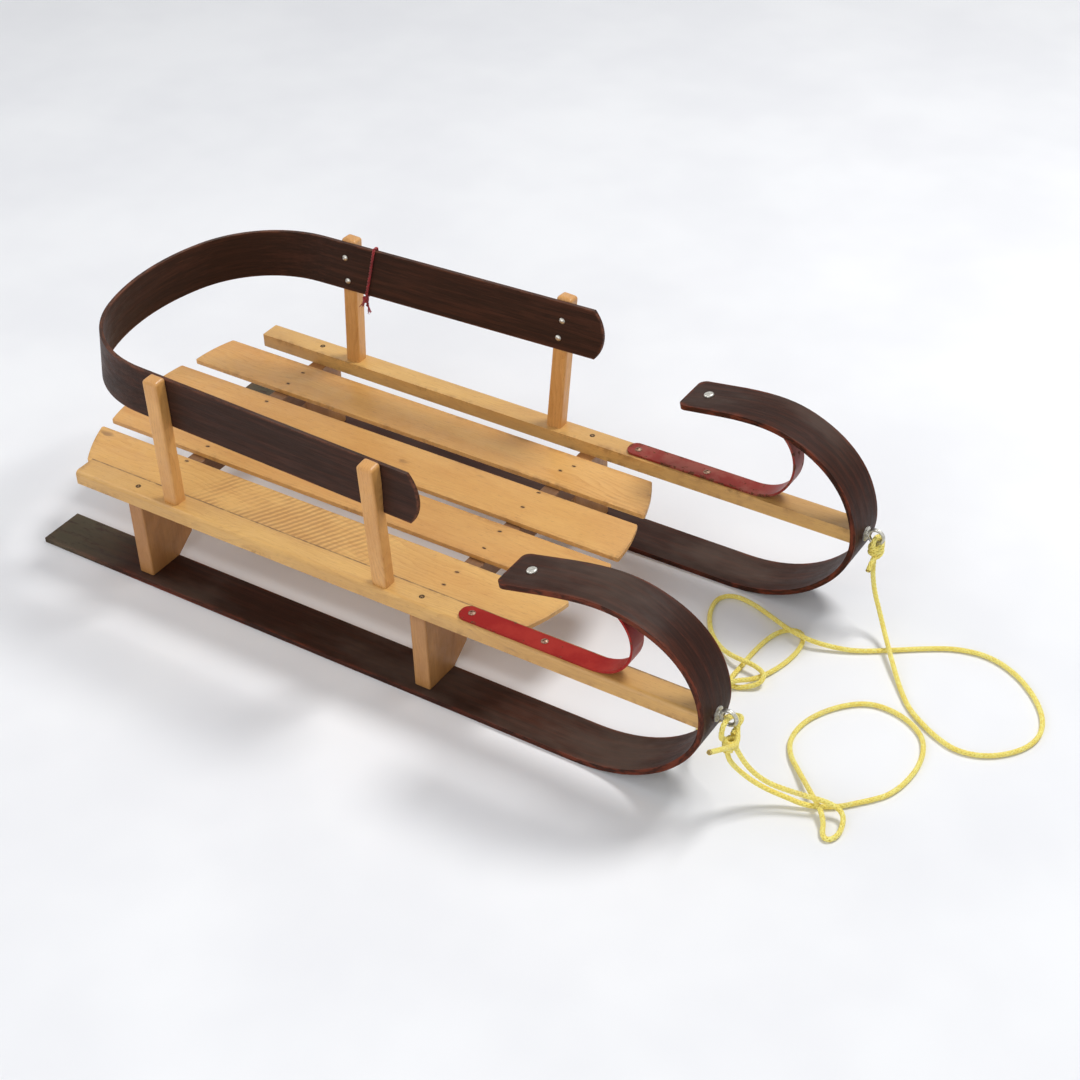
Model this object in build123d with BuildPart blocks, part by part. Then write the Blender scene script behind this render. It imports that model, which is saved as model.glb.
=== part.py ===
# A child's wooden pull sled: two bent runners that curl back over the rails,
# a slatted deck on two benches, a bentwood guard round the seat and a pull rope.
# +X is the way it travels, +Y its left side, +Z up; it stands on the floor at z = 0.
from build123d import *
import math
import os

os.makedirs("parts", exist_ok=True)

# Driving dimensions, in millimetres
length = 1000.0
runner_width = 63.5
runner_thickness = 7.0
runner_track = 378.8
curl_height = 258.0
tip_flare = 16.3
bench_height = 116.2
bench_thickness = 23.0
crossbar_depth = 32.0
rail_thickness = 19.3
rail_width = 33.0
rail_shift = 4.1
slat_thickness = 6.4
post_width = 19.0
post_depth = 22.0
post_height = 187.0
guard_height = 70.0
guard_clearance = 114.1
guard_thickness = 5.0
strap_width = 25.0
strap_thickness = 3.0
rope_diameter = 6.35
eye_ring = 9.5
eye_wire = 2.4
washer_thickness = 1.6
seat_gap = 0.2

# Places along the sled: the origin is halfway between the runners' rear ends and the
# fronts of the eyes, and the other places are measured from the rear ends
eye_reach = seat_gap + washer_thickness + 2 * eye_ring + 2 * eye_wire
rear = -(length + eye_reach) / 2
front = rear + length
curl_rise = curl_height - runner_thickness
rail_start = rear + 0.073 * length
rear_bench = rear + 0.1703 * length
front_bench = rear + 0.6098 * length
bolt_place = front - 0.9068 * curl_rise
strap_start = bolt_place - 0.4359 * curl_rise
sides = (("right", -1), ("left", 1))

# Levels and half-widths that follow from them
runner_y = runner_track / 2
runner_axis = runner_thickness / 2
rail_y = runner_y + rail_shift
rail_outer = rail_y + rail_width / 2
rail_inner = rail_y - rail_width / 2
rail_top = bench_height + rail_thickness
guard_base = rail_top + guard_clearance
guard_rim = guard_base + guard_height
eye_level = rail_top - 6.9

# The curl's middle line: distance back from its front and rise above the floor part,
# both as shares of the whole rise
curl_shares = (
    (0.690, 0.000), (0.490, 0.024), (0.291, 0.106), (0.128, 0.245), (0.038, 0.392),
    (0.014, 0.516), (0.034, 0.650), (0.086, 0.766), (0.188, 0.878), (0.346, 0.964),
    (0.548, 1.000), (0.782, 0.976), (1.020, 0.932),
)
flare_from = curl_shares[5][0]
flare_to = curl_shares[-1][0]


def curl_points(side, aside=0.0):
    """Points on the middle of one curl, which flares outward on its way back."""
    points = []
    for number, (back, rise) in enumerate(curl_shares):
        flare = 0.0
        if number > 5:
            flare = tip_flare * (back - flare_from) / (flare_to - flare_from)
        x = front - back * curl_rise
        points.append((x, side * (runner_y + flare) + aside, runner_axis + rise * curl_rise))
    return points


def runner_line(side, aside=0.0):
    """One runner's middle line from its rear end to its tip, or that line moved aside."""
    curl = curl_points(side, aside)
    with BuildLine() as line:
        Line((rear, side * runner_y + aside, runner_axis), curl[0])
        Spline(*curl, tangents=[(1, 0, 0), (-0.98, side * 0.066, -0.175)])
    return line


def frame_at(line, x):
    """The plane square to a strip's upper face where its middle line passes x."""
    low, high = 0.5, 1.0
    for step in range(30):
        middle = (low + high) / 2
        if (line @ middle).X > x:
            low = middle
        else:
            high = middle
    along = line % high
    return Plane(line @ high, x_dir=along, z_dir=Vector(0, 1, 0).cross(along))


# Runners: a flat strip on the floor, bent up and back over to a rounded tip. A second
# line beside the middle one keeps the strip level across its width
bolt_hole = 3.2
tip_corner = 10.0
end_edge = 1.05 * runner_thickness
runners = {}
curls = {}
for side_name, side in sides:
    middle_line = runner_line(side)
    level_line = runner_line(side, runner_width)
    with BuildPart() as runner:
        with BuildSketch(Plane((rear, side * runner_y, runner_axis), x_dir=(0, 1, 0), z_dir=(1, 0, 0))):
            Rectangle(runner_width, runner_thickness)
        sweep(path=middle_line.wire(), binormal=level_line.wire())
        tip_edges = runner.edges().filter_by(lambda edge: edge.length < end_edge)
        fillet(tip_edges.sort_by(Axis.Z)[-2:], tip_corner)
        curls[side] = middle_line.edges().sort_by(Axis.Z)[-1]
        with BuildSketch(Plane((front, side * runner_y, eye_level), x_dir=(0, 1, 0), z_dir=(1, 0, 0))):
            Circle(bolt_hole)
        extrude(amount=-runner_width, mode=Mode.SUBTRACT)
        with BuildSketch(frame_at(curls[side], bolt_place)):
            Circle(bolt_hole)
        extrude(amount=runner_thickness, both=True, mode=Mode.SUBTRACT)
    runner.part.label = "runner_" + side_name
    export_step(runner.part, "parts/runner_" + side_name + ".step")
    runners[side] = runner

# Rails: square strips whose outer top edge is rounded, butted on the curls, with
# nothing left ahead of the curls' middle line
rail_round = 6.0
eye_hole_depth = 40.0
ahead_reach = 60.0
with BuildPart() as curl_ahead:
    with BuildSketch(Plane.XZ):
        side_view = [(point[0], point[2]) for point in curl_points(1)[:9]]
        with BuildLine():
            Polyline(*side_view, (front + ahead_reach, side_view[-1][1]),
                     (front + ahead_reach, side_view[0][1]), close=True)
        make_face()
    extrude(amount=2 * runner_track, both=True)
for side_name, side in sides:
    with BuildPart() as rail:
        with BuildSketch(Plane.YZ.offset(rail_start)):
            with Locations((side * rail_y, bench_height + rail_thickness / 2)):
                Rectangle(rail_width, rail_thickness)
        extrude(amount=front - rail_start - runner_thickness / 2)
        long_edges = rail.edges().filter_by(Axis.X).group_by(Axis.Z)[-1]
        fillet(long_edges.sort_by(Axis.Y)[0 if side < 0 else -1], rail_round)
        add(runners[side].part, mode=Mode.SUBTRACT)
        add(curl_ahead.part, mode=Mode.SUBTRACT)
        with BuildSketch(Plane((front, side * runner_y, eye_level), x_dir=(0, 1, 0), z_dir=(1, 0, 0))):
            Circle(bolt_hole)
        extrude(amount=-eye_hole_depth, mode=Mode.SUBTRACT)
    rail.part.label = "rail_" + side_name
    export_step(rail.part, "parts/rail_" + side_name + ".step")

# Deck slats: name, right and left edge as shares of the half-width between the rails,
# then at those two edges the rear ends from the runners' rear ends and the front ends
# from the front bench
slats = (
    ("right_wide", -0.952, -0.562, 53.0, 17.0, 123.2, 144.2),
    ("right_middle", -0.463, -0.0735, 18.0, 8.0, 147.2, 150.2),
    ("left_middle", 0.0, 0.401, 8.0, 11.0, 151.2, 137.2),
    ("left_wide", 0.517, 0.898, 18.0, 31.0, 135.2, 107.2),
)
slat_bulge = 3.0
slat_corner = 3.0
for slat_name, low_share, high_share, rear_low, rear_high, front_low, front_high in slats:
    y_low = low_share * rail_inner
    y_high = high_share * rail_inner
    y_middle = (y_low + y_high) / 2
    rear_middle = rear + (rear_low + rear_high) / 2 - slat_bulge
    front_middle = front_bench + (front_low + front_high) / 2 + slat_bulge
    with BuildPart() as slat:
        with BuildSketch(Plane.XY.offset(bench_height)):
            with BuildLine():
                Line((rear + rear_low, y_low), (front_bench + front_low, y_low))
                ThreePointArc((front_bench + front_low, y_low), (front_middle, y_middle),
                              (front_bench + front_high, y_high))
                Line((front_bench + front_high, y_high), (rear + rear_high, y_high))
                ThreePointArc((rear + rear_high, y_high), (rear_middle, y_middle),
                              (rear + rear_low, y_low))
            make_face()
        extrude(amount=slat_thickness)
        fillet(slat.edges().filter_by(Axis.Z), slat_corner)
    slat.part.label = "slat_" + slat_name
    export_step(slat.part, "parts/slat_" + slat_name + ".step")

# Benches: a crossbar between two broad legs that stand on the runners under the rails
leg_width = 83.0
leg_overhang = runner_y - runner_width / 2
leg_inner = rail_outer - leg_width
leg_cut = 22.0
leg_edge = 2.5
for bench_name, bench_x in (("rear", rear_bench), ("front", front_bench)):
    with BuildPart() as crossbar:
        with Locations((bench_x, 0, bench_height - crossbar_depth / 2)):
            Box(bench_thickness, 2 * leg_inner, crossbar_depth)
    crossbar.part.label = "crossbar_" + bench_name
    export_step(crossbar.part, "parts/crossbar_" + bench_name + ".step")
    for side_name, side in sides:
        leg_name = "leg_" + bench_name + "_" + side_name
        with BuildPart() as leg:
            with BuildSketch(Plane.YZ.offset(bench_x - bench_thickness / 2)):
                with BuildLine():
                    Polyline(
                        (side * rail_outer, runner_thickness), (side * rail_outer, bench_height),
                        (side * leg_inner, bench_height), (side * leg_inner, runner_thickness + leg_cut),
                        (side * leg_overhang, runner_thickness), close=True)
                make_face()
            extrude(amount=bench_thickness)
            fillet(leg.edges().filter_by(Axis.Z), leg_edge)
        leg.part.label = leg_name
        export_step(leg.part, "parts/" + leg_name + ".step")

# Guard: a bentwood band that runs round behind the seat, flaring a little at its top
guard_front = front_bench + 11.2
guard_end_bulge = 13.0
guard_back_radius = 271.0
back_turn = math.radians(19.0)
side_turn = math.radians(87.75)
guard_bottom = (rail_y - 9.0, rear + 37.0)
guard_top = (rail_y - 6.5, rear + 47.0)


def guard_curve(level, outset):
    """Half of one edge of the band at a level, outset from its middle, back to front."""
    share = (level - guard_base) / guard_height
    corner_half = guard_bottom[0] + share * (guard_top[0] - guard_bottom[0])
    back_x = guard_bottom[1] + share * (guard_top[1] - guard_bottom[1])
    back_centre = back_x + guard_back_radius
    radius = corner_half - guard_back_radius * math.sin(back_turn)
    radius = radius / (math.sin(side_turn) - math.sin(back_turn))
    centre_x = back_centre - (guard_back_radius - radius) * math.cos(back_turn)
    centre_y = (guard_back_radius - radius) * math.sin(back_turn)
    reach = radius + outset
    points = []
    for turn in (back_turn, (back_turn + side_turn) / 2, side_turn):
        points.append((centre_x - reach * math.cos(turn), centre_y + reach * math.sin(turn)))
    run = guard_front - points[-1][0]
    points.append((guard_front, points[-1][1] + run / math.tan(side_turn)))
    return back_x - outset, points


def guard_edge(level, outset):
    """Lines and arcs of one whole edge of the band, from one front end to the other."""
    back, (join, middle, corner, end) = guard_curve(level, outset)
    for side in (1, -1):
        Line((end[0], side * end[1]), (corner[0], side * corner[1]))
        ThreePointArc((corner[0], side * corner[1]), (middle[0], side * middle[1]),
                      (join[0], side * join[1]))
    ThreePointArc(join, (back, 0), (join[0], -join[1]))
    return end


def guard_section(level, spread=0.0):
    """The band's closed outline at a level, made thicker by a spread on each face."""
    with BuildSketch(Plane.XY.offset(level)) as section:
        with BuildLine():
            outer_end = guard_edge(level, guard_thickness / 2 + spread)
            inner_end = guard_edge(level, -guard_thickness / 2 - spread)
            for side in (1, -1):
                Line((outer_end[0], side * outer_end[1]), (inner_end[0], side * inner_end[1]))
        make_face()
    return section.sketch


def guard_space(level):
    """What the band closes in at a level, out to its outer face."""
    with BuildSketch(Plane.XY.offset(level)) as section:
        with BuildLine():
            end = guard_edge(level, guard_thickness / 2 + seat_gap)
            Line((end[0], end[1]), (end[0], -end[1]))
        make_face()
    return section.sketch


with BuildPart() as guard_band:
    loft(sections=[guard_section(guard_base), guard_section(guard_rim)])
    with BuildSketch(Plane.XZ):
        with BuildLine():
            end_x = guard_front - guard_end_bulge
            back_x = rear - post_depth
            Polyline((end_x, guard_rim), (back_x, guard_rim), (back_x, guard_base), (end_x, guard_base))
            ThreePointArc((end_x, guard_base), (guard_front, guard_base + guard_height / 2),
                          (end_x, guard_rim))
        make_face()
    extrude(amount=length / 2, both=True, mode=Mode.INTERSECT)
guard_band.part.label = "guard_band"
export_step(guard_band.part, "parts/guard_band.step")

# String: a few turns of thin string tied round the band's left side
string_place = rear_bench + 0.0997 * length
string_width = 4.0
string_thickness = 1.6
with BuildPart() as string_seat:
    loft(sections=[guard_section(guard_base - seat_gap, seat_gap),
                   guard_section(guard_rim + seat_gap, seat_gap)])
with BuildPart() as string_tie:
    loft(sections=[guard_section(guard_base - string_thickness, string_thickness),
                   guard_section(guard_rim + string_thickness, string_thickness)])
    with Locations((string_place, runner_y, guard_base + guard_height / 2)):
        Box(string_width, runner_y, 2 * guard_height, mode=Mode.INTERSECT)
    add(string_seat.part, mode=Mode.SUBTRACT)
string_tie.part.label = "string_tie"
export_step(string_tie.part, "parts/string_tie.step")

# Posts: square uprights that stand on the rails, lean outward and carry the guard
# name, base and top places along the sled, base and top places from its middle
posts = (
    ("rear", rear_bench + 55.7, rear_bench + 60.7, rail_y - 1.0, rail_y + 6.5),
    ("front", front_bench - 57.8, front_bench - 48.8, rail_y + 1.0, rail_y + 20.5),
)
post_edge = 3.5
post_crown = 5.0
foot_cut = 3.0
post_top = rail_top + post_height
with BuildPart() as guard_clear:
    loft(sections=[guard_space(guard_base), guard_space(guard_rim)])
for post_name, base_x, top_x, base_y, top_y in posts:
    for side_name, side in sides:
        lean = Vector(top_x - base_x, side * (top_y - base_y), post_height)
        foot = Vector(base_x, side * base_y, rail_top)
        with BuildPart() as post:
            with BuildSketch(Plane(foot, x_dir=(1, 0, -lean.X / post_height), z_dir=lean)) as foot_outline:
                RectangleRounded(post_depth, post_width, post_edge)
            extrude(amount=lean.length)
            fillet(post.edges().group_by(Axis.Z)[-1], post_crown)
            extrude(foot_outline.sketch, amount=-foot_cut)
            split(bisect_by=Plane.XY.offset(rail_top))
            add(guard_clear.part, mode=Mode.SUBTRACT)
        full_name = "post_" + post_name + "_" + side_name
        post.part.label = full_name
        export_step(post.part, "parts/" + full_name + ".step")

# Straps: flat steel from the rails up and back under the curls to the tip bolts
strap_end = 13.0
strap_lead = 15.0
strap_nose = 0.44 * strap_width
strap_edge = 1.05 * strap_thickness
bend_clearance = 97.1
upper_middle = bolt_place + 0.1514 * curl_rise
strap_level = rail_top + strap_thickness / 2 + seat_gap
strap_bend = front - bend_clearance - (curl_height - runner_thickness - strap_level) / 2
bend_top = strap_bend + 6.0
strap_drop = runner_thickness / 2 + strap_thickness / 2 + 2 * seat_gap
tip_seats = {}
straps = {}
for side_name, side in sides:
    tip_seats[side] = frame_at(curls[side], bolt_place)
    upper_run = []
    for place in (bend_top, upper_middle, bolt_place, bolt_place - strap_end):
        seat = frame_at(curls[side], place)
        upper_run.append(seat.origin - seat.z_dir * strap_drop)
    low = Vector(strap_bend, side * rail_y, strap_level)
    radius = (upper_run[0].Z - low.Z) / 2
    bend = []
    for degrees in (-60, -30, 0, 30, 60):
        turn = math.radians(degrees)
        drift = (upper_run[0].Y - low.Y) * (1 + math.sin(turn)) / 2
        bend.append(low + Vector(radius * math.cos(turn), drift, radius * (1 + math.sin(turn))))
    last_run = (upper_run[-1] - upper_run[-2]).normalized()
    lead = low - Vector(strap_lead, 0, 0)
    bend_lines = []
    for aside in (0, strap_width):
        strap_run = [point + Vector(0, aside, 0) for point in (lead, low, *bend, *upper_run)]
        with BuildLine() as bend_line:
            Spline(*strap_run, tangents=[(1, 0, 0), last_run])
        bend_lines.append(bend_line.wire())
    with BuildPart() as strap:
        with BuildSketch(Plane(lead, x_dir=(0, 1, 0), z_dir=(1, 0, 0))) as strip:
            Rectangle(strap_width, strap_thickness)
        extrude(amount=strap_start - lead.X)
        sweep(sections=strip.sketch, path=bend_lines[0], binormal=bend_lines[1])
        end_edges = strap.edges().filter_by(lambda edge: edge.length < strap_edge)
        fillet(end_edges, strap_nose)
        with BuildSketch(tip_seats[side]):
            Circle(bolt_hole)
        extrude(amount=-2 * strap_drop, mode=Mode.SUBTRACT)
        add(runners[side].part, mode=Mode.SUBTRACT)
    straps[side] = strap
    strap.part.label = "strap_" + side_name
    export_step(strap.part, "parts/strap_" + side_name + ".step")

# Tip bolts: a domed head on each curl's tip, with its nut under the strap
bolt_shank = 3.0
bolt_head = 6.5
bolt_rise = 3.0
nut_size = 10.0
nut_height = 4.0
shank_tail = 2.0
for side_name, side in sides:
    head_seat = tip_seats[side].offset(runner_thickness / 2 + seat_gap)
    nut_seat = tip_seats[side].offset(-strap_drop - strap_thickness / 2 - seat_gap)
    with BuildPart() as tip_bolt:
        with BuildSketch(head_seat):
            Circle(bolt_head)
        extrude(amount=bolt_rise)
        fillet(tip_bolt.edges().filter_by(GeomType.CIRCLE).sort_by(Axis.Z)[-1], 0.8 * bolt_rise)
        with BuildSketch(head_seat):
            Circle(bolt_shank)
        extrude(amount=-(runner_thickness / 2 + strap_drop + strap_thickness / 2 + nut_height + shank_tail))
        with BuildSketch(nut_seat):
            Rectangle(nut_size, nut_size)
        extrude(amount=-nut_height)
        add(runners[side].part, mode=Mode.SUBTRACT)
        add(straps[side].part, mode=Mode.SUBTRACT)
    tip_bolt.part.label = "tip_bolt_" + side_name
    export_step(tip_bolt.part, "parts/tip_bolt_" + side_name + ".step")

# Eye screws: a washer and a ring in front of each curl, screwed into the rail's end
eye_washer = 9.5
eye_depth = 34.0
eye_x = front + eye_reach - eye_ring - eye_wire
for side_name, side in sides:
    mouth = Vector(front + seat_gap, side * runner_y, eye_level)
    ring_centre = Vector(eye_x, side * runner_y, eye_level)
    with BuildPart() as eye_screw:
        with BuildSketch(Plane(mouth, x_dir=(0, 1, 0), z_dir=(1, 0, 0))):
            Circle(eye_washer)
        extrude(amount=washer_thickness)
        with BuildSketch(Plane(mouth - Vector(eye_depth, 0, 0), x_dir=(0, 1, 0), z_dir=(1, 0, 0))):
            Circle(bolt_shank)
        extrude(amount=eye_depth + washer_thickness + eye_wire)
        with Locations(Plane(ring_centre, z_dir=(0, 1, 0))):
            Torus(eye_ring, eye_wire)
    eye_screw.part.label = "eye_screw_" + side_name
    export_step(eye_screw.part, "parts/eye_screw_" + side_name + ".step")

# Pull rope: its route is listed from knot to knot as places ahead of the curls and
# left of the middle, and lifts above the level where it lies on the floor
floor_gap = 0.125
rope_level = rope_diameter / 2 + floor_gap
drawn_half_track = 189.4
drawn_eye_level = 128.6
drawn_knot_lift = 97.0
rope_spread = runner_y / drawn_half_track
rope_rise = 1 + (eye_level - drawn_eye_level) / drawn_knot_lift
main_route = (
    (14, 188, 97), (14, 188, 85), (16, 184, 71), (22, 180, 49), (35, 171, 28),
    (49, 156, 14), (65, 135, 9), (81, 113, 6), (102, 86, 1), (126, 58, 0),
    (149, 42, 0), (175, 27, 0), (206, 17, 0), (241, 27, 0), (270, 57, 0),
    (279, 90, 0), (269, 124, 0), (243, 156, 0), (210, 181, 0), (172, 194, 0),
    (132, 187, 0), (97, 166, 0), (63, 142, 0), (28, 119, 0), (-3, 107, 4),
    (-28, 100, 9), (-58, 106, 9), (-90, 124, 3), (-125, 139, 0), (-152, 141, 0),
    (-166, 127, 0), (-165, 106, 0), (-156, 83, 0), (-138, 57, 0), (-110, 35, 3),
    (-85, 25, 9), (-60, 24, 9), (-42, 15, 9), (-42, 1, 5), (-56, -8, 0),
    (-70, -16, 0), (-80, -5, 0), (-79, 18, 0), (-79, 45, 0), (-77, 75, 0),
    (-72, 100, 0), (-60, 116, 0), (-45, 119, 0), (-35, 106, 0), (-32, 82, 0),
    (-36, 54, 0), (-44, 29, 0), (-54, 6, 3), (-65, -10, 9), (-75, -22, 9),
    (-80, -46, 4), (-76, -76, 0), (-66, -106, 7), (-55, -130, 25), (-42, -145, 47),
    (-28, -148, 65), (-13, -147, 80), (2, -148, 92), (14, -155, 99), (15, -168, 98),
    (15, -181, 95),
)
loop_route = (
    (14, -192, 86), (15, -192, 71), (20, -188, 57), (29, -180, 41), (39, -173, 28),
    (54, -166, 17), (74, -158, 8), (94, -153, 2), (112, -144, 0), (129, -133, 0),
    (142, -119, 0), (157, -103, 0), (169, -87, 0), (177, -58, 0), (178, -21, 0),
    (167, 13, 0), (145, 33, 0), (114, 44, 0), (82, 42, 0), (54, 18, 0),
    (33, -19, 0), (29, -57, 0), (41, -85, 0), (67, -110, 3), (95, -138, 8),
    (115, -155, 8), (126, -169, 4), (130, -181, 1), (137, -188, 0), (145, -182, 0),
    (147, -168, 1), (142, -150, 5), (132, -145, 10), (117, -148, 15), (98, -154, 18),
    (79, -160, 22), (57, -169, 30), (40, -178, 47), (27, -184, 69), (20, -186, 86),
)
run_share = 0.45
rope_radius = rope_diameter / 2
rope_ends = []
for rope_name, route in (("rope_main", main_route), ("rope_loop", loop_route)):
    points = []
    for ahead, y, lift in route:
        points.append(Vector(front + ahead, rope_spread * y, rope_level + rope_rise * lift))
    radii = []
    for before, point, after in zip(points, points[1:], points[2:]):
        arriving = point - before
        leaving = after - point
        half_turn = math.radians(arriving.get_angle(leaving)) / 2
        radii.append(run_share * min(arriving.length, leaving.length) / math.tan(half_turn))
    print(rope_name, "radii", [round(radius) for radius in radii])
    with BuildPart() as rope:
        with BuildLine() as rope_line:
            FilletPolyline(*points, radius=radii)
        with BuildSketch(Plane(points[0], z_dir=points[1] - points[0])):
            Circle(rope_radius)
        sweep()
    rope_length = sum(edge.length for edge in rope_line.edges())
    print(rope_name, "length", round(rope_length), "volume share",
          round(rope.part.volume / (math.pi * rope_radius ** 2 * rope_length), 4))
    rope.part.label = rope_name
    export_step(rope.part, "parts/" + rope_name + ".step")
    rope_ends.append((points[0], points[1]))
    rope_ends.append((points[-1], points[-2]))

# Knots: a barrel under each eye with a loop through the ring and a cut tail
# side, barrel's middle, radius and height, loop's place, radius and turn, tail's end
knots = (
    ("left", (front + 14, runner_y - 1.4), 9.0, eye_level - 31.3, 16.0,
     (eye_x, runner_y, eye_level - 11.4), 8.0, 0.0, (front + 14, runner_y - 26.4, eye_level - 33.6)),
    ("right", (front + 16.5, 1.4 - runner_y), 11.0, eye_level - 42.3, 20.0,
     (eye_x + 0.5, -runner_y, eye_level - 12.4), 10.5, 25.0,
     (front + 14, -runner_y - 38.6, eye_level - 32.6)),
)
knot_edge = 2.5
for side_name, middle, radius, base, height, loop_place, loop_radius, loop_turn, tail_end in knots:
    centre = Vector(middle[0], middle[1], base + height / 2)
    tail = Vector(*tail_end) - centre
    across = (math.sin(math.radians(loop_turn)), math.cos(math.radians(loop_turn)), 0)
    with BuildPart() as knot:
        with Locations(centre):
            Cylinder(radius, height)
        fillet(knot.edges().filter_by(GeomType.CIRCLE), knot_edge)
        with Locations(Plane(loop_place, x_dir=across, z_dir=Vector(*across).cross(Vector(0, 0, 1)))):
            Torus(loop_radius, rope_radius)
        with BuildSketch(Plane(centre, z_dir=tail)):
            Circle(rope_radius)
        extrude(amount=tail.length)
        for start, following in rope_ends:
            with BuildSketch(Plane(start, z_dir=following - start)):
                Circle(rope_radius)
            extrude(amount=(following - start).length, mode=Mode.SUBTRACT)
    knot.part.label = "knot_" + side_name
    export_step(knot.part, "parts/knot_" + side_name + ".step")
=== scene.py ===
# The looks of a child's wooden pull sled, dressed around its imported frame.
# Everything is in metres: +X the way it travels, +Y its left side, +Z up, floor at z = 0.
import math
import random

import bmesh
import bpy
from mathutils import Matrix, Vector
from mathutils.kdtree import KDTree


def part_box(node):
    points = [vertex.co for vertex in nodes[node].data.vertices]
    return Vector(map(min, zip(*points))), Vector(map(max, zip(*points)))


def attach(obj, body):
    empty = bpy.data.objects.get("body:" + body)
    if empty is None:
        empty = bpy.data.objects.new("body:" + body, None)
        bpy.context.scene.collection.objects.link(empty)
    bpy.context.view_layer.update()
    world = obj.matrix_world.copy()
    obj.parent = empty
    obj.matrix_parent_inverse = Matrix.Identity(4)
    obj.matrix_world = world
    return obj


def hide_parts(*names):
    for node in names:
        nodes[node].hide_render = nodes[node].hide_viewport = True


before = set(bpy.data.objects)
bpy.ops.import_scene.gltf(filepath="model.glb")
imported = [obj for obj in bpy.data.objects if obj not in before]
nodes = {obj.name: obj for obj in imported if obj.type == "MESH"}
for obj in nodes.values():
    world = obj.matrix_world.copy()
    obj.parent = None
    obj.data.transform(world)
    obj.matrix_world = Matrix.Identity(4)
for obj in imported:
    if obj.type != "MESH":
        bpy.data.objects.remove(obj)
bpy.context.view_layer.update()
scene = bpy.context.scene
chance = random.Random(7)
full_turn = 2 * math.pi


# Node trees are written with these few functions
def feed(tree, item, values):
    """Gives a node's inputs their values, which are constants or other nodes' outputs."""
    for name, value in values.items():
        socket = item.inputs[name]
        if isinstance(value, bpy.types.NodeSocket):
            tree.links.new(value, socket)
        else:
            socket.default_value = value


def put(tree, kind, values=(), **settings):
    """Adds a node with its settings and its inputs' values."""
    item = tree.nodes.new(kind)
    for name, value in settings.items():
        setattr(item, name, value)
    feed(tree, item, dict(values))
    return item


def out(tree, kind, values=(), **settings):
    """Adds a node and gives its first output."""
    return put(tree, kind, values, **settings).outputs[0]


def sockets(tree, way, kind, *labels):
    """Adds sockets of one kind to a group's own inputs or outputs."""
    return [tree.interface.new_socket(label, in_out=way, socket_type="NodeSocket" + kind) for label in labels]


def maths(tree, operation, *values):
    """A number worked out from numbers."""
    return out(tree, "ShaderNodeMath", dict(enumerate(values)), operation=operation)


def times(tree, first, second):
    """Two numbers multiplied."""
    return maths(tree, "MULTIPLY", first, second)


def arrows(tree, operation, *values):
    """A vector worked out from vectors."""
    return out(tree, "ShaderNodeVectorMath", dict(enumerate(values)), operation=operation)


def scaled(tree, vector, amount):
    """A vector made longer by a number."""
    return out(tree, "ShaderNodeVectorMath", {0: vector, "Scale": amount}, operation="SCALE")


def mix(tree, amount, first, second, way="MIX"):
    """Two colours mixed."""
    item = put(tree, "ShaderNodeMix", {0: amount, 6: first, 7: second}, data_type="RGBA", blend_type=way)
    item.clamp_factor = True
    return item.outputs[2]


def spread(tree, value, low, high, new_low=0.0, new_high=1.0):
    """A number taken from one range to another, smoothly and within it."""
    return out(tree, "ShaderNodeMapRange", {"Value": value, "From Min": low, "From Max": high,
                                            "To Min": new_low, "To Max": new_high},
               interpolation_type="SMOOTHSTEP")


def tone(red, green, blue):
    """A screen colour, 0 to 255, as the linear colour that Blender wants."""
    linear = []
    for value in (red, green, blue):
        share = value / 255
        linear.append(share / 12.92 if share <= 0.04045 else ((share + 0.055) / 1.055) ** 2.4)
    return (*linear, 1.0)


def link(piece):
    """Puts a new object into the scene."""
    scene.collection.objects.link(piece)
    return piece


def plain_mesh(piece, name):
    """The piece as it looks with its modifiers, as a mesh of its own."""
    bpy.context.view_layer.update()
    graph = bpy.context.evaluated_depsgraph_get()
    mesh = bpy.data.meshes.new_from_object(piece.evaluated_get(graph), depsgraph=graph)
    mesh.name = name
    return mesh


def kept_mesh(mesh, name):
    """A mesh that was being worked on, as data with a name."""
    data = bpy.data.meshes.new(name)
    mesh.to_mesh(data)
    mesh.free()
    return data


def smooth(data, sharp_from=None):
    """Shades a mesh smooth, but for edges sharper than so many degrees."""
    for polygon in data.polygons:
        polygon.use_smooth = True
    if sharp_from:
        data.set_sharp_from_angle(angle=math.radians(sharp_from))


# Camera: the place from which the photograph was taken, in metres and degrees
camera_place = (1.2435, -1.6688, 1.6341)
camera_angles = (56.42, 37.312, -1.962)
camera_lens = 67.65


def aim_camera():
    """A camera at the photograph's place, turned, raised and rolled as it was."""
    turn, rise, roll = [math.radians(angle) for angle in camera_angles]
    back = Vector((math.cos(turn) * math.cos(rise), -math.sin(turn) * math.cos(rise), math.sin(rise)))
    level = Vector((math.sin(turn), math.cos(turn), 0))
    upright = back.cross(level)
    right = level * math.cos(roll) + upright * math.sin(roll)
    upward = upright * math.cos(roll) - level * math.sin(roll)
    data = bpy.data.cameras.new("camera")
    data.lens = camera_lens
    data.sensor_width = 36.0
    data.sensor_fit = "HORIZONTAL"
    data.clip_end = 50.0
    camera = link(bpy.data.objects.new("camera", data))
    camera.matrix_world = Matrix.Translation(camera_place) @ Matrix(
        (right, upward, back)).transposed().to_4x4()
    scene.camera = camera


aim_camera()

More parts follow.
